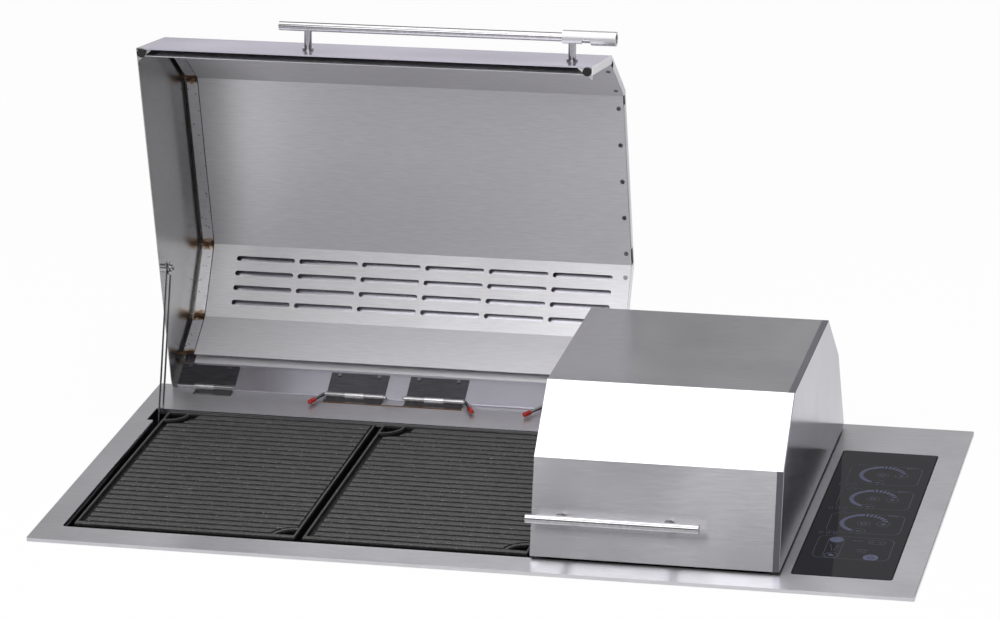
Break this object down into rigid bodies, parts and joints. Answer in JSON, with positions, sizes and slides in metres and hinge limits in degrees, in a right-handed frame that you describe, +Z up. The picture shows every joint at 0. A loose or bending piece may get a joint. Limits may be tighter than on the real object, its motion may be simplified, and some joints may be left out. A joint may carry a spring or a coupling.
{
  "type": "built-in electric grill",
  "caption": "Drop-in electric grill with grates under a large and a small hinged lid and a touch panel beside them.",
  "frame": {"origin": "on the worktop plane, at the middle of the trim's front seat", "axes": "+X to the grill's right, toward the touch panel; +Y to the back, toward the lid hinges; +Z up, out of the worktop"},
  "size_m": [1.21, 0.7741, 0.7088],
  "materials": {
    "stainless": "brushed stainless sheet",
    "stainless_bright": "polished stainless",
    "galvanised": "zinc coated steel",
    "coated_aluminium": "dark non-stick coating on cast aluminium",
    "aluminium": "plain",
    "sheath": "oxidised nickel alloy sheath",
    "black_glass": "printed black toughened glass",
    "board": "glass fibre board",
    "black_plastic": "moulded",
    "ceramic": null,
    "rubber": "black silicone",
    "red_rubber": "red dipped cap"
  },
  "bodies": {
    "grill_base": {"top_trim_frame": "stainless", "flange_gasket": "rubber", "firebox_tub": "galvanised", "control_bay": "galvanised", "heat_shield": "galvanised", "control_glass": "black_glass", "touch_board": "board", "power_board": "board", "power_relays": "black_plastic", "terminal_block": "ceramic", "cable_gland": "black_plastic", "mounting_clamps": "galvanised", "clamp_screws": "galvanised", "module_rails": "stainless", "element_sockets": "ceramic", "temperature_probes": "stainless_bright", "hinge_base_leaves": "stainless_bright", "hinge_pins_plain": "stainless_bright", "stay_pivots": "stainless_bright"},
    "lid_large": {"large_lid_shell": "stainless", "large_lid_side_wall": "stainless", "large_lid_liner": "stainless", "large_lid_side_strip": "stainless", "large_lid_end_frame": "stainless_bright", "large_lid_hinge_leaves": "stainless_bright", "large_lid_screws": "stainless_bright", "large_lid_rivets": "stainless_bright", "large_lid_bumpers": "rubber", "large_lid_stay_stud": "stainless_bright", "large_handle_bar": "stainless_bright", "large_handle_posts": "stainless_bright"},
    "lid_small": {"small_lid_shell": "stainless", "small_lid_side_walls": "stainless", "small_lid_liner": "stainless", "small_lid_side_strips": "stainless", "small_lid_hinge_leaves": "stainless_bright", "small_lid_screws": "stainless_bright", "small_lid_bumpers": "rubber", "small_lid_stay_stud": "stainless_bright", "small_handle_bar": "stainless_bright", "small_handle_posts": "stainless_bright"},
    "coupling_sleeve": {"handle_coupling_sleeve": "stainless"},
    "stay_left": {"stay_arm_left": "stainless_bright"},
    "stay_right": {"stay_arm_right": "stainless_bright"},
    "pull_pin_2": {"hinge_pin_2": "stainless_bright", "pin_cap_2": "red_rubber"},
    "pull_pin_3": {"hinge_pin_3": "stainless_bright", "pin_cap_3": "red_rubber"},
    "pull_pin_4": {"hinge_pin_4": "stainless_bright", "pin_cap_4": "red_rubber"},
    "grate_left_body": {"grate_left": "coated_aluminium"},
    "element_left_body": {"heating_element_left": "sheath"},
    "tray_left_body": {"drip_tray_left": "aluminium"},
    "grate_centre_body": {"grate_centre": "coated_aluminium"},
    "element_centre_body": {"heating_element_centre": "sheath"},
    "tray_centre_body": {"drip_tray_centre": "aluminium"},
    "grate_right_body": {"grate_right": "coated_aluminium"},
    "element_right_body": {"heating_element_right": "sheath"},
    "tray_right_body": {"drip_tray_right": "aluminium"}
  },
  "joints": [
    {"name": "large_lid_close", "type": "hinge", "parent": "grill_base", "child": "lid_large", "pos_m": [-0.25, 0.5822, 0.0112], "axis": [1, 0, 0], "range_deg": [0, 81.4]},
    {"name": "small_lid_open", "type": "hinge", "parent": "grill_base", "child": "lid_small", "pos_m": [0.252, 0.5822, 0.0112], "axis": [-1, 0, 0], "range_deg": [0, 76]},
    {"name": "left_stay_turn", "type": "hinge", "parent": "grill_base", "child": "stay_left", "pos_m": [-0.5674, 0.445, -0.107], "axis": [1, 0, 0], "range_deg": [0, 44.1]},
    {"name": "right_stay_turn", "type": "hinge", "parent": "grill_base", "child": "stay_right", "pos_m": [0.4074, 0.445, -0.107], "axis": [-1, 0, 0], "range_deg": [0, 42.5]},
    {"name": "coupling_sleeve_slide", "type": "slide", "parent": "lid_large", "child": "coupling_sleeve", "axis": [-1, 0, 0], "range_m": [0, 0.0216]},
    {"name": "pin_2_pull", "type": "slide", "parent": "grill_base", "child": "pull_pin_2", "axis": [-1, 0, 0], "range_m": [0, 0.055]},
    {"name": "pin_3_pull", "type": "slide", "parent": "grill_base", "child": "pull_pin_3", "axis": [1, 0, 0], "range_m": [0, 0.035]},
    {"name": "pin_4_pull", "type": "slide", "parent": "grill_base", "child": "pull_pin_4", "axis": [-1, 0, 0], "range_m": [0, 0.035]},
    {"name": "grate_left_lift", "type": "slide", "parent": "grill_base", "child": "grate_left_body", "axis": [0, 0, 1], "range_m": [0, 0.012]},
    {"name": "element_left_lift", "type": "slide", "parent": "grill_base", "child": "element_left_body", "axis": [0, 0, 1], "range_m": [0, 0.012]},
    {"name": "tray_left_lift", "type": "slide", "parent": "grill_base", "child": "tray_left_body", "axis": [0, 0, 1], "range_m": [0, 0.012]},
    {"name": "grate_centre_lift", "type": "slide", "parent": "grill_base", "child": "grate_centre_body", "axis": [0, 0, 1], "range_m": [0, 0.012]},
    {"name": "element_centre_lift", "type": "slide", "parent": "grill_base", "child": "element_centre_body", "axis": [0, 0, 1], "range_m": [0, 0.012]},
    {"name": "tray_centre_lift", "type": "slide", "parent": "grill_base", "child": "tray_centre_body", "axis": [0, 0, 1], "range_m": [0, 0.012]},
    {"name": "grate_right_lift", "type": "slide", "parent": "grill_base", "child": "grate_right_body", "axis": [0, 0, 1], "range_m": [0, 0.012]},
    {"name": "element_right_lift", "type": "slide", "parent": "grill_base", "child": "element_right_body", "axis": [0, 0, 1], "range_m": [0, 0.012]},
    {"name": "tray_right_lift", "type": "slide", "parent": "grill_base", "child": "tray_right_body", "axis": [0, 0, 1], "range_m": [0, 0.012]}
  ],
  "couplings": [
    {"joint": "left_stay_turn", "follows": "large_lid_close", "ratio": 0.538},
    {"joint": "right_stay_turn", "follows": "small_lid_open", "ratio": 0.555},
    {"joint": "coupling_sleeve_slide", "follows": "large_lid_close", "m_per_rad": 0.015133}
  ]
}
